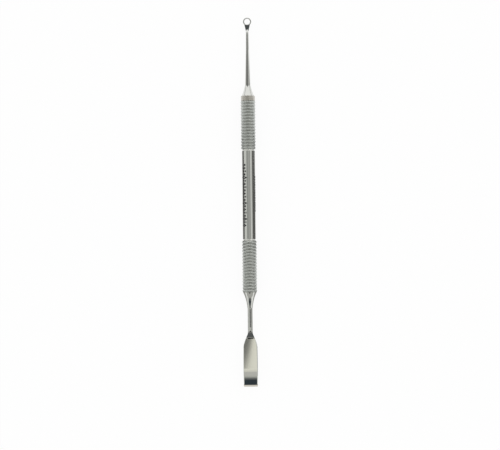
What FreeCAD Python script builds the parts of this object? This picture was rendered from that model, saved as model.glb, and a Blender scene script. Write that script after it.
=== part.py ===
import FreeCAD, Part
import math
import os

# Double-ended cuticle tool, all sizes in millimetres. It lies along Y on the plane Z = 0, resting on its grip
# rings, with the spade blade towards -Y and the ring curette towards +Y. Stations are measured along the tool
# from the blade's cutting edge, and heights of the blade and the necks from the tool's axis.

# Whole tool: the smooth part of the handle takes what the other lengths leave
overall_length = 165.0

# Handle tube
crest_diameter = 6.54
ring_depth = 0.27
ring_pitch = 1.36
ring_land = 0.34
pusher_ring_count = 17
curette_ring_count = 16
smooth_diameter = 6.05
relief_diameter = 5.40
relief_width = 0.62
collar_diameter = 6.22
collar_length = 2.25
collar_edge_radius = 0.33
bore_diameter = 4.90

# Ferrules: the hollow cones that close the tube and hold the tips
pusher_cone_length = 7.10
pusher_cone_base = 6.20
pusher_mouth_diameter = 2.42
curette_cone_length = 4.50
curette_cone_base = 5.56
curette_mouth_diameter = 2.66
cone_hollow_radius = 20.0
spigot_length = 9.0
spigot_chamfer = 0.40

# Tangs and brazed joints
tang_diameter = 1.76
tang_length = 10.0
tang_chamfer = 0.30
tang_relief = 0.50
braze_gap = 0.04
braze_ring_width = 0.80
spigot_groove_depth = 0.35
tang_groove_depth = 0.20

# Spade pusher tip, seen from above
pusher_reach = 35.10
pusher_shank_diameter = 2.24
blade_length = 21.25
blade_edge_width = 6.24
blade_widest = 6.50
widest_station = 9.5
shoulder_width = 6.36
shoulder_station = 17.0
shoulder_radius = 8.0
shoulder_angle = 22.0
blade_corner_radius = 0.30
blade_side_radius = 0.32

# Spade pusher tip, seen from the side
blade_thickness = 1.00
blade_crank = 11.0
blade_cross_radius = 12.0
blade_spread = 22.0
face_height = 0.35
nose_station = 8.2
nose_radius = 15.0
nose_angle = 9.0
nose_thickness = 0.80
edge_bevel_width = 0.90
edge_bevel_angle = 48.0
edge_thickness = 0.25
neck_length = 3.55
neck_swell = 0.28
neck_swell_length = 0.70
neck_flare_angle = 45.0
neck_step_width = 0.65
neck_step_height = 0.50
neck_back_step = 0.40
neck_overlap = 0.35

# Ring curette tip
curette_reach = 30.40
curette_root_diameter = 2.48
curette_waist_diameter = 1.46
curette_end_diameter = 1.32
curette_taper_length = 16.1
curette_neck_length = 5.70
curette_nib_length = 1.20
curette_nib_diameter = 0.96
loop_outer_diameter = 3.72
loop_hole_diameter = 2.55
loop_thickness = 0.62
loop_edge_bevel = 0.16
loop_rim_radius = 0.12
loop_tilt = 18.0
loop_neck_overlap = 0.40
loop_neck_width = 1.10
loop_root_width = 2.54

# Worked out from the sizes above
axis_height = crest_diameter / 2
valley_radius = axis_height - ring_depth
bore_radius = bore_diameter / 2
spigot_radius = bore_radius - braze_gap
tang_radius = tang_diameter / 2
tang_bore_radius = tang_radius + braze_gap
tube_start = pusher_reach + pusher_cone_length
curette_mouth = overall_length - curette_reach
tube_end = curette_mouth - curette_cone_length
pusher_rings_end = tube_start + pusher_ring_count * ring_pitch
curette_rings_end = tube_end - collar_length
curette_rings_start = curette_rings_end - curette_ring_count * ring_pitch
neck_start = blade_length + neck_length
loop_pivot = overall_length - curette_neck_length


def section(station, height):
    # a point of a section down the middle of the tool
    return FreeCAD.Vector(0, station - overall_length / 2, axis_height + height)


def plan(station, side):
    # a point of an outline seen from above, on the plane the tool lies on
    return FreeCAD.Vector(side, station - overall_length / 2, 0)


def outline(place, start, steps):
    # closed face: two numbers are a straight step to a point, four are an arc through one point to the next
    edges = []
    here = place(*start)
    for step in [*steps, start]:
        there = place(*step[-2:])
        if len(step) == 4:
            edges.append(Part.Arc(here, place(*step[:2]), there).toShape())
        else:
            edges.append(Part.makeLine(here, there))
        here = there
    return Part.Face(Part.Wire(edges))


def both_sides(side):
    # steps up one side of an outline and back down the other, mirrored, from the steps of the first side
    steps = [*side[1:], (side[-1][-2], -side[-1][-1])]
    for index in range(len(side) - 1, 0, -1):
        station, across = side[index - 1][-2:]
        if len(side[index]) == 4:
            middle_station, middle_across = side[index][:2]
            steps.append((middle_station, -middle_across, station, -across))
        else:
            steps.append((station, -across))
    return steps


def turned(half_section):
    return half_section.revolve(section(overall_length / 2, 0), FreeCAD.Vector(0, 1, 0), 360)


def into_handle(mouth, direction):
    # section points counted from a ferrule's mouth into the handle, +1 towards +Y and -1 towards -Y
    return lambda depth, radius: section(mouth + direction * depth, radius)


def hollow_middle(first, last):
    # middle of the concave arc between two points of a cone's half section
    run = last[0] - first[0]
    rise = last[1] - first[1]
    chord = math.hypot(run, rise)
    sag = cone_hollow_radius - math.sqrt(cone_hollow_radius**2 - chord**2 / 4)
    return (first[0] + last[0]) / 2 + rise * sag / chord, (first[1] + last[1]) / 2 - run * sag / chord


def grip_rings(start, count):
    # round ridges with a narrow land between each and the next
    steps = []
    for index in range(count):
        foot = start + index * ring_pitch + ring_land / 2
        end = foot + ring_pitch - ring_land
        steps.append((foot, valley_radius))
        steps.append(((foot + end) / 2, axis_height, end, valley_radius))
    return steps


def relief_groove(start, radius_before, radius_after):
    # round-bottomed groove between a ring grip and the smooth part of the handle
    end = start + relief_width
    return [(start, radius_before), (start + relief_width / 2, relief_diameter / 2, end, radius_after)]


def handle_tube():
    smooth_radius = smooth_diameter / 2
    collar_radius = collar_diameter / 2
    edge_start = tube_end - collar_edge_radius
    edge_slack = collar_edge_radius * (1 - math.sqrt(0.5))
    steps = [(tube_start, valley_radius)]
    steps += grip_rings(tube_start, pusher_ring_count)
    steps += relief_groove(pusher_rings_end, valley_radius, smooth_radius)
    steps += relief_groove(curette_rings_start - relief_width, smooth_radius, valley_radius)
    steps += grip_rings(curette_rings_start, curette_ring_count)
    steps += [
        (curette_rings_end, valley_radius),
        (curette_rings_end, collar_radius),
        (edge_start, collar_radius),
        (tube_end - edge_slack, collar_radius - edge_slack, tube_end, collar_radius - collar_edge_radius),
        (tube_end, bore_radius),
    ]
    return turned(outline(section, (tube_start, bore_radius), steps))


def ferrule(place, cone_length, mouth_radius, base_radius):
    # hollow cone, spigot with its braze groove, and the blind bore for the tang
    spigot_end = cone_length + spigot_length
    groove_start = cone_length + (spigot_length - braze_ring_width) / 2
    groove_end = groove_start + braze_ring_width
    groove_radius = spigot_radius - spigot_groove_depth
    bore_end = tang_length + tang_relief
    middle = hollow_middle((0, mouth_radius), (cone_length, base_radius))
    steps = [
        (0, mouth_radius),
        (*middle, cone_length, base_radius),
        (cone_length, spigot_radius),
        (groove_start, spigot_radius),
        (groove_start, groove_radius),
        (groove_end, groove_radius),
        (groove_end, spigot_radius),
        (spigot_end - spigot_chamfer, spigot_radius),
        (spigot_end, spigot_radius - spigot_chamfer),
        (spigot_end, 0),
        (bore_end, 0),
        (bore_end, tang_bore_radius),
    ]
    return turned(outline(place, (0, tang_bore_radius), steps))


def braze_ring(place, middle, inner_radius, outer_radius):
    start = middle - braze_ring_width / 2
    end = middle + braze_ring_width / 2
    steps = [(start, outer_radius), (end, outer_radius), (end, inner_radius)]
    return turned(outline(place, (start, inner_radius), steps))


def tube_braze(place, cone_length):
    return braze_ring(place, cone_length + spigot_length / 2, spigot_radius - spigot_groove_depth, bore_radius)


def tang_braze(place):
    return braze_ring(place, tang_length / 2, tang_radius - tang_groove_depth, tang_bore_radius)


def shank_and_tang(place, shank):
    # shank lists its points from the working end to the ferrule's mouth, where the tang begins
    groove_start = (tang_length - braze_ring_width) / 2
    groove_end = groove_start + braze_ring_width
    groove_radius = tang_radius - tang_groove_depth
    steps = [
        *shank,
        (0, tang_radius),
        (groove_start, tang_radius),
        (groove_start, groove_radius),
        (groove_end, groove_radius),
        (groove_end, tang_radius),
        (tang_length - tang_chamfer, tang_radius),
        (tang_length, tang_radius - tang_chamfer),
        (tang_length, 0),
    ]
    return turned(outline(place, (shank[0][0], 0), steps))


def spade_outline():
    # the blade and its neck from above, as one upright prism
    half_edge = blade_edge_width / 2
    half_shoulder = shoulder_width / 2
    half_shank = pusher_shank_diameter / 2
    corner_slack = blade_corner_radius * (1 - math.sqrt(0.5))
    turn = math.radians(shoulder_angle)
    round_end = shoulder_station + shoulder_radius * math.sin(turn)
    round_side = half_shoulder - shoulder_radius * (1 - math.cos(turn))
    taper_end = round_end + (round_side - half_shank) / math.tan(turn)
    side = [
        (0, half_edge - blade_corner_radius),
        (corner_slack, half_edge - corner_slack, blade_corner_radius, half_edge),
        (widest_station, blade_widest / 2, shoulder_station, half_shoulder),
        (
            shoulder_station + shoulder_radius * math.sin(turn / 2),
            half_shoulder - shoulder_radius * (1 - math.cos(turn / 2)),
            round_end,
            round_side,
        ),
        (taper_end, half_shank),
        (neck_start, half_shank),
    ]
    face = outline(plan, side[0], both_sides(side))
    return face.extrude(FreeCAD.Vector(0, 0, 3 * axis_height))


def spade_blade():
    # a bent, tapering sheet, turned about a far axis below it so that it is round across its width
    slope = math.tan(math.radians(blade_crank))
    root = blade_length + neck_overlap
    root_height = face_height - neck_overlap * slope
    nose_height = face_height + (blade_length - nose_station) * slope
    crank = math.radians(blade_crank)
    curl = math.radians(nose_angle)
    crest_station = nose_station - nose_radius * math.sin(crank)
    crest_height = nose_height + nose_radius * (1 - math.cos(crank))
    curl_station = crest_station - nose_radius * math.sin(curl)
    curl_height = crest_height - nose_radius * (1 - math.cos(curl))
    bevel_height = curl_height - (curl_station - edge_bevel_width) * math.tan(curl)
    edge_height = bevel_height - edge_bevel_width * math.tan(math.radians(edge_bevel_angle))
    steps = [
        (nose_station, nose_height),
        (crest_station, crest_height, curl_station, curl_height),
        (edge_bevel_width, bevel_height),
        (0, edge_height),
        (0, edge_height - edge_thickness),
        (curl_station, curl_height - nose_thickness, nose_station, nose_height - blade_thickness),
        (root, root_height - blade_thickness),
    ]
    far_axis = section(0, face_height - blade_cross_radius)
    along = FreeCAD.Vector(0, 1, 0)
    profile = outline(section, (root, root_height), steps)
    profile.rotate(far_axis, along, -blade_spread)
    return profile.revolve(far_axis, along, 2 * blade_spread)


def softened(blade):
    # rounds the long edges of the blade's face, which are the long edges with metal under them
    edges = []
    for edge in blade.Edges:
        half_way = (edge.FirstParameter + edge.LastParameter) / 2
        middle = edge.valueAt(half_way)
        inside = middle - FreeCAD.Vector(math.copysign(blade_side_radius, middle.x), 0, blade_side_radius)
        runs_along = abs(edge.tangentAt(half_way).y) > math.sqrt(0.5)
        behind_bevel = middle.y > section(edge_bevel_width, 0).y
        if runs_along and behind_bevel and blade.isInside(inside, braze_gap, False):
            edges.append(edge)
    return blade.makeFillet(blade_side_radius, edges)


def spade_neck():
    # flat forged facets between the round shank and the blade, with a step down to the blade's face
    half_shank = pusher_shank_diameter / 2
    swell_station = neck_start - neck_swell_length
    swell_height = half_shank + neck_swell
    step_station = blade_length + neck_step_width
    step_slope = neck_step_height / neck_step_width
    end = blade_length - neck_overlap
    back_height = face_height - blade_thickness
    steps = [
        (swell_station, swell_height),
        (step_station, face_height + neck_step_height),
        (end, face_height - neck_overlap * step_slope),
        (end, back_height + neck_overlap * step_slope),
        (blade_length + neck_overlap, back_height - neck_back_step),
        (swell_station, -swell_height),
        (neck_start, -half_shank),
    ]
    width = blade_widest
    profile = outline(section, (neck_start, half_shank), steps)
    profile.translate(FreeCAD.Vector(-width / 2, 0, 0))
    bar = profile.extrude(FreeCAD.Vector(width, 0, 0))
    length = neck_start - end
    flare_radius = half_shank + length * math.tan(math.radians(neck_flare_angle))
    flare = Part.makeCone(half_shank, flare_radius, length, section(neck_start, 0), FreeCAD.Vector(0, -1, 0))
    return bar.common(flare)


def spade_pusher_tip():
    half_shank = pusher_shank_diameter / 2
    place = into_handle(pusher_reach, 1)
    shank = shank_and_tang(place, [(neck_start - pusher_reach, half_shank), (0, half_shank)])
    blade = softened(spade_blade().common(spade_outline()))
    neck = spade_neck().common(spade_outline())
    return shank.fuse(neck).fuse(blade).removeSplitter()


def curette_loop():
    # flat plate with the open ring, tilted up about the end of the shank
    tilt = math.radians(loop_tilt)
    outer_radius = loop_outer_diameter / 2
    hole_radius = loop_hole_diameter / 2
    half_plate = loop_thickness / 2
    rim_reach = loop_rim_radius + (half_plate - loop_rim_radius) * math.sin(tilt)
    centre_reach = (curette_neck_length - rim_reach) / math.cos(tilt) - (outer_radius - loop_rim_radius)
    root_reach = centre_reach - math.sqrt(outer_radius**2 - (loop_root_width / 2) ** 2)
    side = [
        (loop_pivot - loop_neck_overlap, loop_neck_width / 2),
        (loop_pivot + root_reach, loop_root_width / 2),
    ]
    plate = outline(plan, side[0], both_sides(side)).extrude(FreeCAD.Vector(0, 0, loop_thickness))
    centre = plan(loop_pivot + centre_reach, 0)
    plate = plate.fuse(Part.makeCylinder(outer_radius, loop_thickness, centre)).removeSplitter()
    rim = [edge for edge in plate.Edges if abs(edge.Vertexes[0].Z - edge.Vertexes[-1].Z) < loop_rim_radius]
    plate = plate.makeFillet(loop_rim_radius, rim)
    plate = plate.cut(Part.makeCylinder(hole_radius, loop_thickness, centre))
    bevel_base = centre + FreeCAD.Vector(0, 0, loop_thickness - loop_edge_bevel)
    plate = plate.cut(Part.makeCone(hole_radius, hole_radius + loop_edge_bevel, loop_edge_bevel, bevel_base))
    plate.translate(FreeCAD.Vector(0, 0, axis_height - half_plate))
    plate.rotate(section(loop_pivot, 0), FreeCAD.Vector(1, 0, 0), loop_tilt)
    return plate


def heel_cut():
    # what is ground off the underside of the shank's end, flush with the back of the loop's plate
    side = 2 * curette_end_diameter
    corner = section(loop_pivot - side, -loop_thickness / 2 - side) - FreeCAD.Vector(side / 2, 0, 0)
    block = Part.makeBox(side, 2 * side, side, corner)
    block.rotate(section(loop_pivot, 0), FreeCAD.Vector(1, 0, 0), loop_tilt)
    return block


def ring_curette_tip():
    place = into_handle(curette_mouth, -1)
    nib_end = loop_pivot + curette_nib_length / 2
    nib_start = nib_end - curette_nib_length
    shank = [
        (curette_mouth - nib_end, curette_nib_diameter / 2),
        (curette_mouth - nib_start, curette_end_diameter / 2),
        (-curette_taper_length, curette_waist_diameter / 2),
        (0, curette_root_diameter / 2),
    ]
    return shank_and_tang(place, shank).cut(heel_cut()).fuse(curette_loop()).removeSplitter()


def nodes():
    at_pusher = into_handle(pusher_reach, 1)
    at_curette = into_handle(curette_mouth, -1)
    return {
        "handle_tube": handle_tube(),
        "pusher_ferrule": ferrule(
            at_pusher, pusher_cone_length, pusher_mouth_diameter / 2, pusher_cone_base / 2
        ),
        "curette_ferrule": ferrule(
            at_curette, curette_cone_length, curette_mouth_diameter / 2, curette_cone_base / 2
        ),
        "spade_pusher_tip": spade_pusher_tip(),
        "ring_curette_tip": ring_curette_tip(),
        "pusher_tube_braze": tube_braze(at_pusher, pusher_cone_length),
        "curette_tube_braze": tube_braze(at_curette, curette_cone_length),
        "pusher_tang_braze": tang_braze(at_pusher),
        "curette_tang_braze": tang_braze(at_curette),
    }


os.makedirs("parts", exist_ok=True)
for name, shape in nodes().items():
    solid = shape.Solids[0]
    if len(shape.Solids) != 1 or not shape.isValid():
        raise ValueError(f"{name} is not one valid solid")
    solid.exportStep(f"parts/{name}.step")
    box = shape.BoundBox
    print(
        f"{name}: {shape.Volume:.1f} mm3, X {box.XMin:.2f} {box.XMax:.2f}, "
        f"Y {box.YMin:.2f} {box.YMax:.2f}, Z {box.ZMin:.2f} {box.ZMax:.2f}"
    )
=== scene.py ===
import bpy
import math
import numpy as np
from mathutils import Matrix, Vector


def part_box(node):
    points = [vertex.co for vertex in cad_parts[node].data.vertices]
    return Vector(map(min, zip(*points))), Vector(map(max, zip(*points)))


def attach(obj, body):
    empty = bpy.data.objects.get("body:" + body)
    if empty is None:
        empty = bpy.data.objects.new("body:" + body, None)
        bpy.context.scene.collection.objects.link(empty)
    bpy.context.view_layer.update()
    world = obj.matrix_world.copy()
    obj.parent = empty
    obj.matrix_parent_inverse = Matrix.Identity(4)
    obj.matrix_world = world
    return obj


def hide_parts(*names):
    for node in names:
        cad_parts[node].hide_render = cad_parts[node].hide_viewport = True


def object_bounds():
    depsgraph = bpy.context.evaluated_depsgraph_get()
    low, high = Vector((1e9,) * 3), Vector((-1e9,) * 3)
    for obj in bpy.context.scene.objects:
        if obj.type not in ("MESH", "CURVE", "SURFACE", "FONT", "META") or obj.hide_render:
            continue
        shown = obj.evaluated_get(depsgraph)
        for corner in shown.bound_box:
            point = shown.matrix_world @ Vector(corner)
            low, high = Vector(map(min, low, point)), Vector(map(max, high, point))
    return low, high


# A double-ended cuticle tool lying on a white table: spade pusher towards -Y, ring curette towards +Y.
# Lengths in the dictionaries are millimetres; the meshes are metres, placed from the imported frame.
# A station is a distance along Y from the piece's own starting end.

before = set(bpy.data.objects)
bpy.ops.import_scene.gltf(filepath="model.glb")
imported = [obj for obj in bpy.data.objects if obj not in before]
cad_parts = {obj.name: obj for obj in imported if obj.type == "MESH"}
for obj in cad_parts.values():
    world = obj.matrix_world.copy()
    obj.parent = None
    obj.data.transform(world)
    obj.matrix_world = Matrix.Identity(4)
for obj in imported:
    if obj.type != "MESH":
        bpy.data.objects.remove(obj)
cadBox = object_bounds()
print("frame loaded:", len(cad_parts), "nodes")

mm = 0.001
tubeLow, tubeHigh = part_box("handle_tube")
axisHeight = (tubeLow.z + tubeHigh.z) / 2
crestRadius = (tubeHigh.z - tubeLow.z) / 2


def skin(name, rings, looped, crease=38):
    # rings is rows x around x 3: each ring joins the next. A looped surface joins its last ring to its first;
    # an open one is closed by a fan to the middle of each end ring. Faces are turned to point outwards.
    rows, around = rings.shape[:2]
    index = np.arange(rows * around).reshape(rows, around)
    lower = index if looped else index[:-1]
    upper = np.roll(index, -1, axis=0) if looped else index[1:]
    quads = np.stack([lower, np.roll(lower, -1, 1), np.roll(upper, -1, 1), upper], -1).reshape(-1, 4)
    points = rings.reshape(-1, 3)
    fans = np.zeros((0, 3), int)
    if not looped:
        first = np.stack([np.full(around, len(points)), np.roll(index[0], -1), index[0]], -1)
        last = np.stack([np.full(around, len(points) + 1), index[-1], np.roll(index[-1], -1)], -1)
        fans = np.concatenate([first, last])
        points = np.concatenate([points, [rings[0].mean(0), rings[-1].mean(0)]])
    corners = np.concatenate([quads[:, [0, 1, 2]], quads[:, [0, 2, 3]], fans])
    a, b, c = (points[corners[:, k]] - points.mean(0) for k in range(3))
    if np.einsum("ij,ij->i", a, np.cross(b, c)).sum() < 0:
        quads = quads[:, ::-1]
        fans = fans[:, ::-1]
    mesh = bpy.data.meshes.new(name)
    mesh.from_pydata(points.tolist(), [], quads.tolist() + fans.tolist())
    mesh.shade_smooth()
    mesh.set_sharp_from_angle(angle=math.radians(crease))
    piece = bpy.data.objects.new(name, mesh)
    bpy.context.scene.collection.objects.link(piece)
    return piece


def turned(name, profile, looped, around=128):
    # a profile of (y, radius) points in metres, carried round the tool's axis
    y, radius = np.array(profile, float).T
    turn = np.linspace(0, 2 * np.pi, around, endpoint=False)
    x = np.outer(radius, np.sin(turn))
    z = axisHeight + np.outer(radius, np.cos(turn))
    return skin(name, np.stack([x, np.repeat(y[:, None], around, 1), z], -1), looped)


def arcThrough(first, middle, last, count):
    # points of the circle through three points, from the first to the last
    (ax, ay), (bx, by), (cx, cy) = first, middle, last
    d = 2 * (ax * (by - cy) + bx * (cy - ay) + cx * (ay - by))
    ux = ((ax**2 + ay**2) * (by - cy) + (bx**2 + by**2) * (cy - ay) + (cx**2 + cy**2) * (ay - by)) / d
    uy = ((ax**2 + ay**2) * (cx - bx) + (bx**2 + by**2) * (ax - cx) + (cx**2 + cy**2) * (bx - ax)) / d
    start = math.atan2(ay - uy, ax - ux)
    through = (math.atan2(by - uy, bx - ux) - start) % (2 * math.pi)
    sweep = (math.atan2(cy - uy, cx - ux) - start) % (2 * math.pi)
    if through > sweep:
        sweep -= 2 * math.pi
    turn = start + np.linspace(0, sweep, count)
    reach = math.hypot(ax - ux, ay - uy)
    return list(zip(ux + reach * np.cos(turn), uy + reach * np.sin(turn)))


def finishPiece(piece, node, material):
    piece.data.materials.append(material)
    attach(piece, "root")
    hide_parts(node)
    print(piece.name, len(piece.data.polygons), "faces")


class Wire:
    # one output of a node, so that sums on values are written as sums
    def __init__(self, tree, socket):
        self.tree = tree
        self.socket = socket

    def sum(self, operation, *values):
        node = self.tree.nodes.new("ShaderNodeMath")
        node.operation = operation
        for place, value in enumerate(values):
            if isinstance(value, Wire):
                self.tree.links.new(value.socket, node.inputs[place])
            else:
                node.inputs[place].default_value = value
        return Wire(self.tree, node.outputs[0])

    def __add__(self, other):
        return self.sum("ADD", self, other)

    def __radd__(self, other):
        return self.sum("ADD", other, self)

    def __sub__(self, other):
        return self.sum("SUBTRACT", self, other)

    def __rsub__(self, other):
        return self.sum("SUBTRACT", other, self)

    def __mul__(self, other):
        return self.sum("MULTIPLY", self, other)

    def __rmul__(self, other):
        return self.sum("MULTIPLY", other, self)

    def __truediv__(self, other):
        return self.sum("DIVIDE", self, other)

    def __rtruediv__(self, other):
        return self.sum("DIVIDE", other, self)

    def __pow__(self, other):
        return self.sum("POWER", self, other)

    def __lt__(self, other):
        return self.sum("LESS_THAN", self, other)

    def __gt__(self, other):
        return self.sum("GREATER_THAN", self, other)

    def __mod__(self, other):
        return self.sum("MODULO", self, other)

    def __abs__(self):
        return self.sum("ABSOLUTE", self)

    def floor(self):
        return self.sum("FLOOR", self)

    def clamped(self):
        return self.sum("MINIMUM", self.sum("MAXIMUM", self, 0.0), 1.0)


class Finish:
    # a material and its nodes
    def __init__(self, name):
        self.material = bpy.data.materials.new(name)
        self.material.use_nodes = True
        self.tree = self.material.node_tree
        self.tree.nodes.clear()

    def add(self, kind, settings=None, values=None):
        # one node: its settings first, then its sockets' values or links
        node = self.tree.nodes.new("ShaderNode" + kind)
        for key, value in (settings or {}).items():
            setattr(node, key, value)
        for key, value in (values or {}).items():
            if isinstance(value, Wire):
                self.tree.links.new(value.socket, node.inputs[key])
            else:
                node.inputs[key].default_value = value
        return node

    def out(self, node, socket=0):
        return Wire(self.tree, node.outputs[socket])

    def place(self):
        # x, y and height from the tool's axis, in millimetres
        here = self.add("TexCoord")
        moved = self.add("Mapping", {}, {
            "Vector": self.out(here, "Object"),
            "Location": (0, 0, -axisHeight / mm),
            "Scale": (1 / mm, 1 / mm, 1 / mm),
        })
        return self.out(moved)

    def parts(self, vector):
        split = self.add("SeparateXYZ", {}, {"Vector": vector})
        return [self.out(split, k) for k in range(3)]

    def blend(self, factor, first, second):
        node = self.add("Mix", {"data_type": "RGBA"}, {0: factor, 6: first, 7: second})
        return self.out(node, 2)

    def noise(self, vector, scale, detail, stretch=(1, 1, 1)):
        bent = self.add("Mapping", {}, {"Vector": vector, "Scale": stretch})
        node = self.add("TexNoise", {}, {"Vector": self.out(bent), "Scale": scale, "Detail": detail})
        return self.out(node)

    def lines(self, along, scale, detail):
        # noise along one direction only, as a turning tool leaves it
        values = {"W": along, "Scale": scale, "Detail": detail}
        node = self.add("TexNoise", {"noise_dimensions": "1D"}, values)
        return self.out(node)

    def show(self, shader):
        self.add("OutputMaterial", {}, {"Surface": self.out(shader)})
        return self.material


steel = {
    "bright": (0.77, 0.775, 0.75, 1),
    "worn": (0.69, 0.695, 0.67, 1),
    # the stain colour is also the painted shade deep in the handle's grooves
    "stainAndShade": (0.30, 0.30, 0.285, 1),
    "satin": (0.55, 0.57, 0.545, 1),
    "collarSatin": (0.58, 0.56, 0.515, 1),
    "relief": (0.96, 0.965, 0.94, 1),
    "ink": (0.018, 0.018, 0.02, 1),
    "polish": 0.045,
    "haze": 0.05,
    "satinHaze": 0.34,
    "reliefHaze": 0.36,
    "lineHaze": 0.03,
    "filmAndShadeHaze": 0.12,
    "stainAndShadeShare": {"least": 0.45, "grime": 0.5},
    # painted shade in the handle's grooves: darker with depth below the ring crests
    "grooveShade": {"below": 0.17, "fade": 0.10, "most": 0.70},
    "speckFilm": {"from": 0.60, "gain": 3.0, "most": 0.35},
    "bump": {"strength": 0.10, "distance": 0.00002, "lines": 0.7, "grime": 0.3},
}

grain = {
    "smear": {"scale": 0.12, "detail": 4.0, "stretch": (1.6, 0.35, 1.6)},
    "grime": {"scale": 1.7, "detail": 5.0},
    "turning": {"scale": 11.0, "detail": 3.0},
    "grinding": {"scale": 6.0, "detail": 3.0, "stretch": (3.0, 0.22, 3.0)},
}

etching = {
    "radius": 3.02,
    "kindStep": 0.618034,
    "sizeStep": 0.381966,
    "sizeStart": 0.21,
    "smallest": 0.72,
    "fill": 0.40,
    "lozenge": {"inner": 0.40, "outer": 1.35},
    "bar": {"wide": 0.95, "long": 0.72, "splitAt": 0.40, "split": 0.10},
    "dot": {"at": 0.50, "narrow": 2.4, "size": 0.90},
    "ink": {"least": 0.82, "grime": 0.3, "haze": 0.35, "dull": 0.85},
    "columns": [
        {"turn": -42, "from": -11.1, "to": 18.4, "pitch": 1.42, "high": 1.25, "lean": 0.9},
        {"turn": 70, "from": -4.4, "to": 11.7, "pitch": 1.15, "high": 0.85, "lean": -0.5},
    ],
}


def etchedMask(finish, x, y, z):
    # columns of plain marks of uneven width, one to a cell: inner < |u| + |v| < outer for a hollow lozenge,
    # a box with two slits for a split bar, and an ellipse each side of the middle for a pair of dots
    lozenge, bar, dot = etching["lozenge"], etching["bar"], etching["dot"]
    mask = 0.0
    turn = x.sum("ARCTAN2", x, z)
    for column in etching["columns"]:
        across = (turn - math.radians(column["turn"])) * etching["radius"]
        cell = (y - column["from"]) / column["pitch"]
        number = cell.floor()
        along = (cell - number - 0.5) * column["pitch"]
        kind = (number * etching["kindStep"]) % 1.0 * 3
        share = (number * etching["sizeStep"] + etching["sizeStart"]) % 1.0
        reach = etching["smallest"] + share * (1 - etching["smallest"])
        u = abs(across + (1 - reach) * column["lean"]) / (reach * column["high"])
        v = abs(along) / (column["pitch"] * etching["fill"])
        hollow = (u + v < lozenge["outer"]) * (u + v > lozenge["inner"])
        slit = (u < bar["wide"]) * (v < bar["long"]) * (abs(u - bar["splitAt"]) > bar["split"])
        pair = (abs(u - dot["at"]) * dot["narrow"]) ** 2 + v * v < dot["size"]
        first = kind < 1.0
        last = kind > 2.0
        shape = hollow * first + slit * (1 - first) * (1 - last) + pair * last
        inside = (cell > 0.0) * (cell < math.floor((column["to"] - column["from"]) / column["pitch"]))
        mask = shape * inside + mask
    return mask.clamped()


def steelFinish(name, turned, bands=None):
    # polished stainless: faint tool lines, slow haze and smears, dark film in random specks on the ground
    # tips, and painted shade deep in the handle's grooves
    finish = Finish(name)
    place = finish.place()
    x, y, z = finish.parts(place)
    smear = finish.noise(place, **grain["smear"])
    grime = finish.noise(place, **grain["grime"])
    fine = finish.lines(y, **grain["turning"]) if turned else finish.noise(place, **grain["grinding"])
    colour = finish.blend(smear, steel["worn"], steel["bright"])
    roughness = steel["polish"] + smear * steel["haze"] + (fine - 0.5) * steel["lineHaze"]
    filmAndShade = 0.0
    metallic = 1.0
    if bands:
        # the handle alone: satin grips and collar, pale relief grooves, and painted shade deep in the grooves
        # between the rings
        groove = steel["grooveShade"]
        fromMiddle = abs(y - bands["middle"])
        satin = fromMiddle > bands["half"]
        relief = (1 - satin) * (fromMiddle > bands["half"] - bands["relief"])
        reach = (x * x + z * z) ** 0.5
        # painted shade: the colour darkens with depth below the crests, in the grooves between the rings
        low = ((crestRadius / mm - groove["below"] - reach) / groove["fade"]).clamped()
        filmAndShade = low * satin * groove["most"]
        dull = finish.blend(y > bands["collarFrom"], steel["satin"], steel["collarSatin"])
        colour = finish.blend(satin, finish.blend(relief, colour, steel["relief"]), dull)
        roughness = roughness + satin * steel["satinHaze"] + relief * steel["reliefHaze"]
    elif not turned:
        speck = steel["speckFilm"]
        filmAndShade = ((grime - speck["from"]) * speck["gain"]).clamped() * speck["most"]
    stainAndShade = steel["stainAndShadeShare"]
    # dark colour over the tips' stain specks, and painted shade, uneven, in the handle's grooves
    colour = finish.blend(filmAndShade * (stainAndShade["least"] + grime * stainAndShade["grime"]), colour, steel["stainAndShade"])
    roughness = roughness + filmAndShade * steel["filmAndShadeHaze"]
    if bands:
        ink = etching["ink"]
        marks = etchedMask(finish, x, y, z)
        colour = finish.blend(marks * (ink["least"] + grime * ink["grime"]).clamped(), colour, steel["ink"])
        roughness = roughness + marks * ink["haze"]
        metallic = 1 - marks * ink["dull"]
    uneven = steel["bump"]
    bump = finish.add("Bump", {}, {
        "Strength": uneven["strength"],
        "Distance": uneven["distance"],
        "Height": fine * uneven["lines"] + grime * uneven["grime"],
    })
    shader = finish.add("BsdfPrincipled", {}, {
        "Base Color": colour,
        "Roughness": roughness,
        "Metallic": metallic,
        "Normal": finish.out(bump),
    })
    return finish.show(shader)


brazeLook = {
    "alloy": (0.80, 0.70, 0.50, 1),
    "fluxStain": (0.36, 0.30, 0.24, 1),
    "roughness": 0.34,
    "rippleHaze": 0.2,
    "ripple": {"scale": 3.2, "detail": 5.0},
    "flux": {"scale": 1.1, "detail": 4.0},
    "fluxFrom": 0.52,
    "fluxGain": 5.0,
    "bump": {"strength": 0.35, "distance": 0.00005},
}


def brazeFinish():
    # silver braze: rippled where it froze, with dull flux marks
    finish = Finish("silverBraze")
    place = finish.place()
    ripple = finish.noise(place, **brazeLook["ripple"])
    flux = finish.noise(place, **brazeLook["flux"])
    stained = ((flux - brazeLook["fluxFrom"]) * brazeLook["fluxGain"]).clamped()
    colour = finish.blend(stained, brazeLook["alloy"], brazeLook["fluxStain"])
    bump = finish.add("Bump", {}, {
        "Strength": brazeLook["bump"]["strength"],
        "Distance": brazeLook["bump"]["distance"],
        "Height": ripple,
    })
    shader = finish.add("BsdfPrincipled", {}, {
        "Base Color": colour,
        "Roughness": brazeLook["roughness"] + ripple * brazeLook["rippleHaze"],
        "Metallic": 1.0,
        "Normal": finish.out(bump),
    })
    return finish.show(shader)


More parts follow.
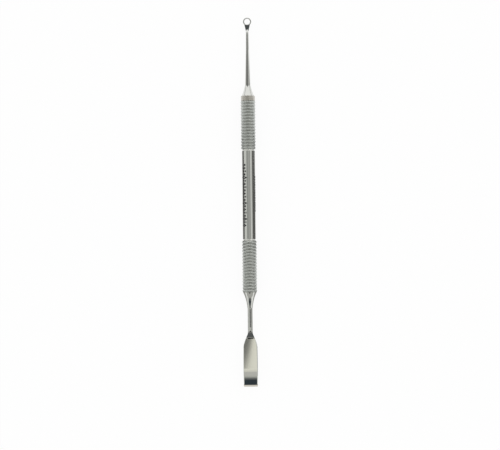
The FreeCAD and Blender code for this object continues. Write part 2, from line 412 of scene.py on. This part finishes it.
handle = {
    "ringDepth": 0.27,
    "ringPitch": 1.36,
    "ringLand": 0.34,
    "pusherRings": 17,
    "curetteRings": 16,
    "smoothRadius": 3.025,
    "reliefRadius": 2.70,
    "reliefWidth": 0.62,
    "collarRadius": 3.11,
    "collarLength": 2.25,
    "collarRound": 0.33,
    "collarEase": 0.6,
    "smoothEase": 0.05,
    "boreRadius": 2.45,
    "arcSteps": 11,
    "collarSteps": 7,
    "smoothSteps": 24,
}


def gripRings(start, count, crest, valley):
    # round ridges, each the arc through two feet and a crest, with a narrow land between
    points = []
    for number in range(count):
        foot = start + number * handle["ringPitch"] + handle["ringLand"] / 2
        end = foot + handle["ringPitch"] - handle["ringLand"]
        points += arcThrough((foot, valley), ((foot + end) / 2, crest), (end, valley), handle["arcSteps"])
    return points


def handleProfile():
    # the whole tube's half section, and where its polished middle and its collar lie
    start = tubeLow.y / mm
    end = tubeHigh.y / mm
    crest = crestRadius / mm
    valley = crest - handle["ringDepth"]
    smooth = handle["smoothRadius"]
    firstEnd = start + handle["pusherRings"] * handle["ringPitch"]
    secondEnd = end - handle["collarLength"]
    secondStart = secondEnd - handle["curetteRings"] * handle["ringPitch"]
    wide = handle["reliefWidth"]
    relief = handle["reliefRadius"]
    collar = handle["collarRadius"]
    rounding = handle["collarRound"]
    slack = rounding * (1 - math.sqrt(0.5))
    smoothFrom = firstEnd + wide
    smoothTo = secondStart - wide
    ease = handle["smoothEase"]
    points = [(start, handle["boreRadius"]), (start, valley)]
    points += gripRings(start, handle["pusherRings"], crest, valley)
    points += arcThrough(
        (firstEnd, valley), (firstEnd + wide / 2, relief), (smoothFrom, smooth), handle["arcSteps"]
    )
    points += [(y, smooth) for y in np.linspace(smoothFrom + ease, smoothTo - ease, handle["smoothSteps"])]
    points += arcThrough(
        (smoothTo, smooth), (secondStart - wide / 2, relief), (secondStart, valley), handle["arcSteps"]
    )
    points += gripRings(secondStart, handle["curetteRings"], crest, valley)
    points += [(secondEnd, valley), (secondEnd, collar), (secondEnd + handle["collarEase"], collar)]
    eased = (end - slack, collar - slack)
    points += arcThrough((end - rounding, collar), eased, (end, collar - rounding), handle["collarSteps"])
    points += [(end, handle["boreRadius"])]
    bands = {
        "middle": (firstEnd + secondStart) / 2,
        "half": (secondStart - firstEnd) / 2,
        "collarFrom": secondEnd,
        "relief": wide,
    }
    return np.array(points) * mm, bands


profile, handleBands = handleProfile()
handleSteel = steelFinish("handleSteel", True, handleBands)
coneSteel = steelFinish("coneSteel", True)
tipSteel = steelFinish("tipSteel", False)
silverBraze = brazeFinish()
print("finishes made")
finishPiece(turned("handleSkin", profile, True), "handle_tube", handleSteel)


cones = {
    "hollowRadius": 20.0,
    "spigotRadius": 2.41,
    "spigotLength": 9.0,
    "tangBore": 0.92,
    "boreDepth": 10.5,
    "chamfer": 0.40,
    "closing": 0.02,
    "faceSteps": 40,
    "pusher": {"long": 7.10, "mouth": 1.21, "base": 3.10},
    "curette": {"long": 4.50, "mouth": 1.33, "base": 2.78},
}


def coneProfile(mouth, direction, size):
    # half section from the mouth inwards: concave cone, shoulder, spigot and blind bore
    run = size["long"]
    rise = size["base"] - size["mouth"]
    chord = math.hypot(run, rise)
    sag = cones["hollowRadius"] - math.sqrt(cones["hollowRadius"] ** 2 - chord**2 / 4)
    middle = (run / 2 + rise * sag / chord, (size["mouth"] + size["base"]) / 2 - run * sag / chord)
    end = run + cones["spigotLength"]
    spigot, chamfer, closing = cones["spigotRadius"], cones["chamfer"], cones["closing"]
    points = [(0, cones["tangBore"])]
    points += arcThrough((0, size["mouth"]), middle, (run, size["base"]), cones["faceSteps"])
    points += [(run, spigot), (end - chamfer, spigot), (end, spigot - chamfer), (end, closing)]
    points += [(cones["boreDepth"], closing), (cones["boreDepth"], cones["tangBore"])]
    points = np.array(points)
    return np.stack([mouth + direction * points[:, 0] * mm, points[:, 1] * mm], -1)


for end, node, direction in (("pusher", "pusher_ferrule", 1), ("curette", "curette_ferrule", -1)):
    low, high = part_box(node)
    mouth = low.y if direction > 0 else high.y
    cone = turned(end + "Cone", coneProfile(mouth, direction, cones[end]), True)
    finishPiece(cone, node, coneSteel)


tipCrease = 32
cornerPull = 0.13
# a step in a tip's section is two rings this far apart
stepGap = 0.0001


def squareTurn(count):
    # a square carried round, its points drawn towards the corners: (sin t, cos t) / max(|sin t|, |cos t|)
    turn = np.linspace(0, 2 * np.pi, count, endpoint=False)
    turn = turn + cornerPull * np.sin(4 * turn)
    reach = np.maximum(abs(np.sin(turn)), abs(np.cos(turn)))
    return np.sin(turn) / reach, np.cos(turn) / reach


def cornerRounded(across, up, half, high, rounding):
    # points past both straight sides go to the quarter circle about the corner's centre
    dx, dz = across - (half - rounding), up - (high - rounding)
    near = (dx > 0) & (dz > 0)
    length = np.maximum(np.hypot(dx, dz), 1e-9)
    across = np.where(near, half - rounding + dx / length * rounding, across)
    up = np.where(near, high - rounding + dz / length * rounding, up)
    return across, up


spade = {
    "tip": {"edgeHalf": 3.12, "cornerRound": 0.30, "widestHalf": 3.25, "widestAt": 9.5},
    "shoulder": {"half": 3.18, "at": 17.0, "round": 8.0, "turn": 22.0},
    "sheet": {"thick": 1.00, "noseThick": 0.80, "crank": 11.0, "arch": 12.0, "face": 0.35},
    "sides": {"round": 0.32, "most": 0.9, "fadeIn": 0.4, "fadeOut": 1.5},
    "nose": {"at": 8.2, "round": 15.0, "curl": 9.0, "bevel": 0.90, "bevelTurn": 48.0, "edge": 0.25},
    "neck": {
        "at": 21.25,
        "long": 3.55,
        "swell": 0.28,
        "swellLong": 0.70,
        "step": 0.50,
        "stepLong": 0.65,
        "backStep": 0.40,
        "backBefore": 0.07,
        "backAfter": 0.35,
        "cutBefore": 0.35,
    },
    "shank": {"radius": 1.12, "mouthAt": 35.10, "tang": 0.88, "tangLong": 10.0, "tangChamfer": 0.30},
    "around": 192,
    # sections along each stretch, and how far the extra ones stand from an edge
    "steps": {"corner": 9, "bevel": 6, "curl": 60, "face": 60, "neck": 40, "shank": 14, "under": 60},
    "beside": {"bevel": (0.001, 0.05, 0.1), "curl": 0.2, "neck": 0.05, "tang": 0.9},
}


def spadeHeights(station):
    # top and bottom of the tip's middle section, heights from the axis
    sheet, nose, neck, shank = spade["sheet"], spade["nose"], spade["neck"], spade["shank"]
    crank = math.radians(sheet["crank"])
    curl = math.radians(nose["curl"])
    slope = math.tan(crank)
    neckEnd = neck["at"] + neck["long"]
    noseHeight = sheet["face"] + (neck["at"] - nose["at"]) * slope
    crestAt = nose["at"] - nose["round"] * math.sin(crank)
    crestHeight = noseHeight + nose["round"] * (1 - math.cos(crank))
    curlAt = crestAt - nose["round"] * math.sin(curl)
    curlHeight = crestHeight - nose["round"] * (1 - math.cos(curl))
    bevelHeight = curlHeight - (curlAt - nose["bevel"]) * math.tan(curl)
    edgeHeight = bevelHeight - nose["bevel"] * math.tan(math.radians(nose["bevelTurn"]))
    bend = np.clip(station, curlAt, nose["at"])
    noseTop = crestHeight - nose["round"] + np.sqrt(nose["round"] ** 2 - (bend - crestAt) ** 2)
    face = sheet["face"] + (neck["at"] - station) * slope
    ground = np.interp(station, [0, nose["bevel"], curlAt], [edgeHeight, bevelHeight, curlHeight])
    top = np.where(station > nose["at"], face, noseTop)
    top = np.where(station < curlAt, ground, top)
    # underside: straight behind the nose, then one arc down to the edge
    underEdge = (0, edgeHeight - nose["edge"])
    underCurl = (curlAt, curlHeight - sheet["noseThick"])
    underNose = (nose["at"], noseHeight - sheet["thick"])
    underAt, underHeight = np.array(arcThrough(underEdge, underCurl, underNose, spade["steps"]["under"])).T
    bottom = np.where(station < nose["at"], np.interp(station, underAt, underHeight), face - sheet["thick"])
    # the neck steps up from the face and swells into the shank
    radius = shank["radius"]
    swellAt = neckEnd - neck["swellLong"]
    back = sheet["face"] - sheet["thick"]
    neckTop = np.interp(station, [neck["at"], neck["at"] + neck["stepLong"], swellAt, neckEnd],
                        [sheet["face"], sheet["face"] + neck["step"], radius + neck["swell"], radius])
    backAt = [neck["at"] - neck["backBefore"], neck["at"] + neck["backAfter"], swellAt, neckEnd]
    backHeight = [back, back - neck["backStep"], -radius - neck["swell"], -radius]
    neckBottom = np.interp(station, backAt, backHeight)
    top = np.where(station > neck["at"], neckTop, top)
    bottom = np.where(station > neck["at"], neckBottom, bottom)
    return top, bottom


def spadeHalfWidth(station):
    # outline from above: rounded corner, shallow bow, round shoulder, straight taper, shank
    tip, shoulder, radius = spade["tip"], spade["shoulder"], spade["shank"]["radius"]
    turn = math.radians(shoulder["turn"])
    bow = np.polyfit([tip["cornerRound"], tip["widestAt"], shoulder["at"]],
                     [tip["edgeHalf"], tip["widestHalf"], shoulder["half"]], 2)
    wide = np.polyval(bow, station)
    corner = np.clip(tip["cornerRound"] - station, 0, tip["cornerRound"])
    wide = wide - tip["cornerRound"] + np.sqrt(tip["cornerRound"] ** 2 - corner**2)
    roundEnd = shoulder["at"] + shoulder["round"] * math.sin(turn)
    roundSide = shoulder["half"] - shoulder["round"] * (1 - math.cos(turn))
    past = np.clip(station - shoulder["at"], 0, shoulder["round"] * math.sin(turn))
    curve = shoulder["half"] - shoulder["round"] + np.sqrt(shoulder["round"] ** 2 - past**2)
    taper = roundSide - (station - roundEnd) * math.tan(turn)
    wide = np.where(station > shoulder["at"], curve, wide)
    wide = np.where(station > roundEnd, taper, wide)
    return np.maximum(wide, radius)


def spadeStations():
    # where the sections stand: close together on the corner, the bevel, the curl and the neck
    tip, nose, neck, shank = spade["tip"], spade["nose"], spade["neck"], spade["shank"]
    steps, beside = spade["steps"], spade["beside"]
    neckEnd = neck["at"] + neck["long"]
    bevelled = [nose["bevel"] + gap for gap in beside["bevel"]]
    curled = nose["at"] + beside["curl"]
    faceEnd = neck["at"] - beside["neck"]
    tangStart = shank["mouthAt"] + stepGap
    tangEnd = shank["mouthAt"] + shank["tangLong"]
    return np.unique(np.concatenate([
        np.linspace(0, tip["cornerRound"], steps["corner"]),
        np.linspace(tip["cornerRound"], nose["bevel"], steps["bevel"]),
        bevelled,
        np.linspace(bevelled[-1], curled, steps["curl"]),
        np.linspace(curled, faceEnd, steps["face"]),
        [neck["at"]],
        np.linspace(neck["at"] + beside["neck"], neckEnd, steps["neck"]),
        np.linspace(neckEnd, shank["mouthAt"], steps["shank"]),
        [tangStart, shank["mouthAt"] + beside["tang"], tangEnd - shank["tangChamfer"], tangEnd],
    ]))


def spadeRings(start):
    neck, nose, shank, sheet, sides = (spade[part] for part in ("neck", "nose", "shank", "sheet", "sides"))
    neckEnd = neck["at"] + neck["long"]
    station = spadeStations()
    top, bottom = spadeHeights(station)
    half = spadeHalfWidth(station)[:, None]
    tang = station > shank["mouthAt"] + stepGap / 2
    radius = np.where(tang, shank["tang"], shank["radius"] + np.clip(neckEnd - station, 0, None))
    radius[-1] = shank["tang"] - shank["tangChamfer"]
    u, v = squareTurn(spade["around"])
    height = (top - bottom)[:, None] / 2
    middle = (top + bottom)[:, None] / 2
    x = half * u[None]
    z = height * v[None]
    # upper long edges of the blade are rounded over
    fadeOut = np.clip((neck["at"] - station) / sides["fadeOut"], 0, 1)
    fadeIn = np.clip((station - nose["bevel"]) / sides["fadeIn"], 0, 1)
    rounding = np.minimum(sides["round"], sides["most"] * height[:, 0]) * fadeOut * fadeIn + 1e-6
    across, z = cornerRounded(abs(x), z, half, height, rounding[:, None])
    x = np.sign(x) * across
    z = z + middle
    # the sheet is arched across its width about a far axis; the neck is flat
    flat = np.clip((station - neck["at"]) / neck["stepLong"], 0, 1)[:, None]
    pivot = sheet["face"] - sheet["arch"]
    arched = pivot + np.sqrt(np.maximum((z - pivot) ** 2 - x**2, 0))
    z = arched * (1 - flat) + z * flat
    # the neck and the shank are cut from a cone and a round bar
    cut = np.minimum(1, radius[:, None] / np.maximum(np.hypot(x, z), 1e-9))
    cut = np.where((station > neck["at"] - neck["cutBefore"])[:, None], cut, 1)
    x = x * cut
    z = z * cut
    y = start + np.repeat(station[:, None], len(u), 1) * mm
    return np.stack([x * mm, y, axisHeight + z * mm], -1)


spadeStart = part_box("spade_pusher_tip")[0].y
spadeTip = skin("spadeTip", spadeRings(spadeStart), False, tipCrease)
finishPiece(spadeTip, "spade_pusher_tip", tipSteel)


curette = {
    "shank": {"root": 1.24, "waist": 0.73, "end": 0.66, "nib": 0.48, "taper": 16.1},
    "tang": {"radius": 0.88, "chamfer": 0.3},
    "neck": {"long": 5.70, "nib": 1.20, "overlap": 0.40, "half": 0.55, "rootHalf": 1.27, "inset": 0.004},
    "ring": {"outer": 1.86, "hole": 1.275, "thick": 0.62, "crown": 0.17, "rim": 0.12, "tilt": 18.0},
    "heelInset": 0.006,
    "around": 96,
    "ringAround": 128,
    "steps": {"crown": 15, "rim": 7, "tab": 24, "taper": 40, "nib": 12},
}


def loopFrame(tipEnd):
    # where the ring's plate turns, how far along the plate its centre is, and the turn itself
    neck, ring = curette["neck"], curette["ring"]
    tilt = math.radians(ring["tilt"])
    half = ring["thick"] / 2
    rimReach = ring["rim"] + (half - ring["rim"]) * math.sin(tilt)
    centre = (neck["long"] - rimReach) / math.cos(tilt) - (ring["outer"] - ring["rim"])
    return tipEnd / mm - neck["long"], centre, tilt


def tiltedPlate(x, along, up, pivot, tilt):
    # plate coordinates turned up about the end of the shank, in metres
    y = pivot + along * math.cos(tilt) - up * math.sin(tilt)
    z = axisHeight / mm + along * math.sin(tilt) + up * math.cos(tilt)
    return np.stack([x, y, z], -1) * mm


def ringRings(tipEnd):
    # the plate's section round the hole, (distance from the hole's axis, height), carried round the hole
    ring, steps = curette["ring"], curette["steps"]
    pivot, centre, tilt = loopFrame(tipEnd)
    hole, outer, rim = ring["hole"], ring["outer"], ring["rim"]
    half = ring["thick"] / 2
    side = half - ring["crown"]
    slack = rim * (1 - math.sqrt(0.5))
    section = [(hole, -half)]
    section += arcThrough((hole, side), ((hole + outer) / 2, half), (outer, side), steps["crown"])
    section += arcThrough(
        (outer, rim - half), (outer - slack, slack - half), (outer - rim, -half), steps["rim"]
    )
    out, up = np.array(section).T
    turn = np.linspace(0, 2 * np.pi, curette["ringAround"], endpoint=False)
    x = np.outer(out, np.sin(turn))
    along = centre + np.outer(out, np.cos(turn))
    return tiltedPlate(x, along, np.repeat(up[:, None], len(turn), 1), pivot, tilt)


def tabRings(tipEnd):
    # the flat neck: a rounded rectangle that widens from the shank to the ring
    neck, ring = curette["neck"], curette["ring"]
    pivot, centre, tilt = loopFrame(tipEnd)
    root = centre - math.sqrt(ring["outer"] ** 2 - neck["rootHalf"] ** 2)
    along = np.linspace(-neck["overlap"], root, curette["steps"]["tab"])
    half = np.interp(along, [-neck["overlap"], root], [neck["half"], neck["rootHalf"]])[:, None]
    thick = ring["thick"] / 2 - neck["inset"]
    u, v = squareTurn(curette["around"])
    x = half * u[None]
    up = np.repeat((thick * v)[None], len(along), 0)
    across, above = cornerRounded(abs(x), abs(up), half, thick, ring["rim"])
    along = np.repeat(along[:, None], len(u), 1)
    return tiltedPlate(np.sign(x) * across, along, np.sign(up) * above, pivot, tilt)


def shankRings(tangEnd, mouth, tipEnd):
    # round tapering shank with a short nib, its heel ground flush with the back of the plate
    shank, tang, neck, ring = (curette[part] for part in ("shank", "tang", "neck", "ring"))
    steps = curette["steps"]
    pivot, centre, tilt = loopFrame(tipEnd)
    start = tangEnd / mm
    mouthAt = mouth / mm
    nibEnd = pivot + neck["nib"] / 2
    nibStart = nibEnd - neck["nib"]
    tangKnots = [start, start + tang["chamfer"], mouthAt - stepGap]
    knots = tangKnots + [mouthAt, mouthAt + shank["taper"], nibStart, nibEnd]
    tangRadii = [tang["radius"] - tang["chamfer"], tang["radius"], tang["radius"]]
    radii = tangRadii + [shank["root"], shank["waist"], shank["end"], shank["nib"]]
    tapered = np.linspace(mouthAt, nibStart, steps["taper"])
    y = np.unique(np.concatenate([knots, tapered, np.linspace(nibStart, nibEnd, steps["nib"])]))
    radius = np.interp(y, knots, radii)
    turn = np.linspace(0, 2 * np.pi, curette["around"], endpoint=False)
    x = np.outer(radius, np.sin(turn))
    z = np.outer(radius, np.cos(turn))
    y = np.repeat(y[:, None], len(turn), 1)
    back = -ring["thick"] / 2 / math.cos(tilt) + (y - pivot) * math.tan(tilt)
    z = np.maximum(z, back + curette["heelInset"])
    return np.stack([x, y, axisHeight / mm + z], -1) * mm


def joined(name, pieces):
    # several closed surfaces as one piece
    with bpy.context.temp_override(active_object=pieces[0], selected_editable_objects=pieces):
        bpy.ops.object.join()
    pieces[0].name = name
    return pieces[0]


curetteLow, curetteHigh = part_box("ring_curette_tip")
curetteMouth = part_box("curette_ferrule")[1].y
curetteTip = joined("curetteTip", [
    skin("curetteShank", shankRings(curetteLow.y, curetteMouth, curetteHigh.y), False, tipCrease),
    skin("curetteTab", tabRings(curetteHigh.y), False, tipCrease),
    skin("curetteRing", ringRings(curetteHigh.y), True, tipCrease),
])
finishPiece(curetteTip, "ring_curette_tip", tipSteel)


for name in ("pusher_tube_braze", "curette_tube_braze", "pusher_tang_braze", "curette_tang_braze"):
    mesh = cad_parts[name].data
    mesh.materials.clear()
    mesh.materials.append(silverBraze)
print("braze rings finished")


studio = {
    "table": {"half": 3000.0, "colour": (0.92, 0.92, 0.915, 1), "glow": 0.90},
    "room": 1.0,
    "dome": 1500.0,
    "wall": (1.0, 1.0, 0.985),
    # the dome's steps across and along, with finer ones where the blade's face looks
    "domeSteps": 241,
    "fineSteps": 61,
    "fineFrom": 12.5,
    "fineTo": 17.5,
    # soft-edged patches of the dome, later ones over earlier: x and y are degrees from straight up towards
    # +X and +Y, and a leaning patch slides by lean degrees of x for each degree of y past at
    "patches": [
        {"x": (-40, 31), "y": (-62, 20), "soft": 5, "glow": (0.343, 0.352, 0.334)},
        {"x": (-9, 14), "y": (-10, 8), "soft": 7, "glow": (0.423, 0.428, 0.409)},
        {"x": (-82, -41), "y": (-36, 20), "soft": 5, "glow": (0.677, 0.691, 0.658)},
        {"x": (37, 60), "y": (-36, 20), "soft": 5, "glow": (0.583, 0.592, 0.564)},
        {"x": (-120, -83), "y": (-12, 12), "soft": 3, "glow": (0.122, 0.122, 0.117)},
        {"x": (61, 120), "y": (-12, 12), "soft": 3, "glow": (0.113, 0.113, 0.108)},
        {"x": (-75, 75), "y": (-68, -38), "soft": 6, "glow": (0.47, 0.47, 0.442)},
        {"x": (-25, 25), "y": (-92, -70), "soft": 4, "glow": (0.028, 0.028, 0.028)},
        {"x": (-30, 26), "y": (-15, -5), "soft": 5, "glow": (0.536, 0.536, 0.498)},
        {"x": (-36, 34), "y": (-39, -19.5), "soft": 6, "glow": (0.108, 0.113, 0.113)},
        {"x": (-40, 36), "y": (-32, -25.2), "soft": 1.6, "glow": (0.033, 0.045, 0.055)},
        {"x": (-20, 11), "y": (-60, -51), "soft": 3, "glow": (0.113, 0.117, 0.117)},
        {"x": (-45, 27), "y": (7.4, 17.2), "soft": 4, "softY": 4, "glow": (0.865, 0.851, 0.752)},
        {
            "x": (-400, 1),
            "y": (6.6, 17.2),
            "soft": 26,
            "softY": 1.5,
            "lean": 13,
            "at": 14.45,
            "glow": (0.195, 0.195, 0.18),
        },
        {"x": (-95, 95), "y": (22, 95), "soft": 4, "glow": (1.0, 1.0, 0.985)},
        {"x": (-130, -68), "y": (24, 70), "soft": 8, "glow": (0.282, 0.287, 0.282)},
        {"x": (68, 130), "y": (24, 70), "soft": 8, "glow": (0.282, 0.287, 0.282)},
    ],
    # flat cards, x and y from and to and how high they lie, in millimetres
    "cards": [
        {"name": "leftFlag", "x": (-1400, -8.0), "y": (-21, 29), "high": 0.15, "glow": (0.122, 0.122, 0.117)},
        {"name": "rightFlag", "x": (8, 1400), "y": (-21, 29), "high": 0.15, "glow": (0.113, 0.113, 0.108)},
        {
            "name": "leftConeCard",
            "x": (-60, -4.5),
            "y": (-62, -40),
            "high": 0.15,
            "glow": (0.414, 0.414, 0.395),
        },
        {
            "name": "rightConeCard",
            "x": (4.5, 60),
            "y": (-62, -40),
            "high": 0.15,
            "glow": (0.395, 0.395, 0.376),
        },
        {"name": "tipCard", "x": (-60, 60), "y": (-900, -86), "high": 0.15, "glow": (0.771, 0.733, 0.667)},
        {"name": "shankCard", "x": (-60, 45), "y": (57, 87), "high": 64, "glow": (0.376, 0.376, 0.362)},
        {"name": "shankFlag", "x": (-30, 8), "y": (57, 87), "high": 62, "glow": (0.122, 0.122, 0.122)},
        {
            "name": "neckFlag",
            "x": (-1.6, 3.4),
            "y": (-56.4, -48.2),
            "high": 9.3,
            "glow": (0.094, 0.094, 0.094),
        },
        {"name": "curlCard", "x": (-8, 8), "y": (-74.9, -73.2), "high": 14, "glow": (0.76, 0.75, 0.67)},
        {"name": "noseCard", "x": (-8, 8), "y": (-78.2, -74.9), "high": 14, "glow": (0.56, 0.555, 0.52)},
        {"name": "loopCard", "x": (-140, 140), "y": (80.6, 118), "high": 18.3, "glow": (1, 1, 1)},
    ],
    "camera": {"high": 600.0, "wide": 224.0, "right": 0.36, "back": 10.24, "roll": -0.60},
    "sensor": 36,
    "farthest": 20,
}


def glowing(name, points, quads, glow):
    # a stage card that only polished metal sees; its light is stored at its points
    mesh = bpy.data.meshes.new(name)
    mesh.from_pydata(points.tolist(), [], quads.tolist())
    stored = mesh.attributes.new("glow", "FLOAT_COLOR", "POINT")
    opaque = np.concatenate([glow, np.ones((len(glow), 1))], 1)
    stored.data.foreach_set("color", opaque.astype(np.float32).ravel())
    finish = Finish(name)
    read = finish.add("Attribute", {"attribute_name": "glow"})
    shader = finish.add("Emission", {}, {"Color": finish.out(read), "Strength": 1.0})
    mesh.materials.append(finish.show(shader))
    piece = bpy.data.objects.new(name, mesh)
    bpy.context.scene.collection.objects.link(piece)
    piece.visible_camera = False
    piece.visible_diffuse = False
    piece.visible_shadow = False


def gridQuads(rows, columns):
    index = np.arange(rows * columns).reshape(rows, columns)
    return np.stack([index[:-1, :-1], index[1:, :-1], index[1:, 1:], index[:-1, 1:]], -1).reshape(-1, 4)


def softBand(angle, between, soft):
    # 1 between two angles and 0 outside, with a smooth step as wide as soft at each end
    low = np.clip((angle - between[0]) / soft + 0.5, 0, 1)
    high = np.clip((between[1] - angle) / soft + 0.5, 0, 1)
    return low * low * (3 - 2 * low) * high * high * (3 - 2 * high)


def studioDome():
    # half a sphere over the tool: x = sin a cos b, y = sin b, z = cos a cos b, a towards +X and b towards +Y
    even = np.linspace(-90, 90, studio["domeSteps"])
    fine = np.linspace(studio["fineFrom"], studio["fineTo"], studio["fineSteps"])
    a, b = np.meshgrid(even, np.unique(np.concatenate([even, fine])), indexing="ij")
    turn, lift = np.radians(a), np.radians(b)
    points = np.stack([np.sin(turn) * np.cos(lift), np.sin(lift), np.cos(turn) * np.cos(lift)], -1)
    points = points * studio["dome"] * mm + np.array([0, 0, axisHeight])
    glow = np.ones(a.shape + (3,)) * studio["wall"]
    for patch in studio["patches"]:
        leaning = a - patch.get("lean", 0) * (b - patch.get("at", 0))
        across = softBand(leaning, patch["x"], patch["soft"])
        along = softBand(b, patch["y"], patch.get("softY", patch["soft"]))
        share = (across * along)[..., None]
        glow = glow * (1 - share) + np.array(patch["glow"]) * share
    glowing("studioDome", points.reshape(-1, 3), gridQuads(*a.shape), glow.reshape(-1, 3))


def flatCard(spec):
    x, y = np.meshgrid(spec["x"], spec["y"], indexing="ij")
    points = np.stack([x, y, np.full(x.shape, spec["high"])], -1).reshape(-1, 3) * mm
    glowing(spec["name"], points, gridQuads(2, 2), np.tile(spec["glow"], (4, 1)))


studioDome()
for spec in studio["cards"]:
    flatCard(spec)
print("studio:", len(studio["patches"]), "patches,", len(studio["cards"]), "cards")


def tableTop():
    # white table: it takes the tool's shadow, and looks white to the eye and in the metal
    half = studio["table"]["half"] * mm
    mesh = bpy.data.meshes.new("tableTop")
    corners = [(-half, -half, 0), (half, -half, 0), (half, half, 0), (-half, half, 0)]
    mesh.from_pydata(corners, [], [(0, 1, 2, 3)])
    finish = Finish("tableWhite")
    matt = finish.add("BsdfDiffuse", {}, {"Color": studio["table"]["colour"]})
    bright = finish.add("Emission", {}, {"Color": (1, 1, 1, 1), "Strength": 1.0})
    path = finish.add("LightPath")
    direct = finish.out(path, "Is Camera Ray") + finish.out(path, "Is Glossy Ray")
    seen = (direct + finish.out(path, "Is Transmission Ray")).clamped()
    mixed = finish.add("MixShader", {}, {
        0: seen * studio["table"]["glow"],
        1: finish.out(matt),
        2: finish.out(bright),
    })
    mesh.materials.append(finish.show(mixed))
    table = bpy.data.objects.new("tableTop", mesh)
    bpy.context.scene.collection.objects.link(table)


def room():
    world = bpy.data.worlds.new("room")
    world.use_nodes = True
    background = world.node_tree.nodes["Background"]
    background.inputs["Color"].default_value = (1, 1, 1, 1)
    background.inputs["Strength"].default_value = studio["room"]
    bpy.context.scene.world = world


def overheadCamera():
    size = studio["camera"]
    data = bpy.data.cameras.new("overheadCamera")
    data.sensor_width = studio["sensor"]
    data.lens = studio["sensor"] * size["high"] / size["wide"]
    data.clip_end = studio["farthest"]
    camera = bpy.data.objects.new("overheadCamera", data)
    middle = (cadBox[0] + cadBox[1]) / 2
    camera.location = (
        middle.x + size["right"] * mm,
        middle.y - size["back"] * mm,
        axisHeight + size["high"] * mm,
    )
    camera.rotation_euler = (0, 0, math.radians(size["roll"]))
    bpy.context.scene.collection.objects.link(camera)
    bpy.context.scene.camera = camera


tableTop()
room()
overheadCamera()
bpy.context.scene.view_settings.view_transform = "Standard"
